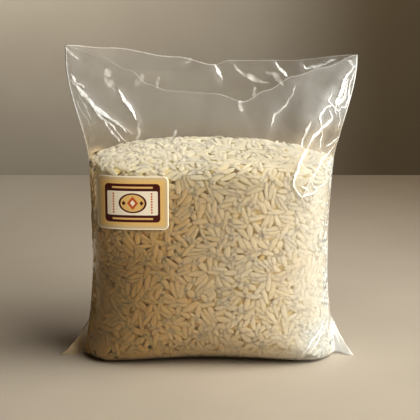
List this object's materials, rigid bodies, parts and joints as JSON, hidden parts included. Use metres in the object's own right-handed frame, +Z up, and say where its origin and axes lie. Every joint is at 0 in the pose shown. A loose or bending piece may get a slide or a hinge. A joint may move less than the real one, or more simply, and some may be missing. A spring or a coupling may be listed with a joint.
{
  "type": "bag of rice",
  "caption": "Clear plastic bag filled with white long-grain rice, standing on its filled base with its mouth open and a small sticker on the front.",
  "frame": {"origin": "on the surface that the bag stands on, under the middle of the filled body", "axes": "+Z up, +X to the right as the sticker is read, -Y out of the front that carries the sticker"},
  "size_m": [0.1263, 0.0467, 0.1324],
  "materials": {
    "rice": "dry white long-grain rice, slightly translucent, satin",
    "film": "clear thin plastic film, glossy, creased",
    "sticker": "coated paper, printed in gold, maroon and cream"
  },
  "bodies": {
    "root": {"rice": "rice", "bag": "film", "sticker": "sticker"}
  },
  "joints": []
}
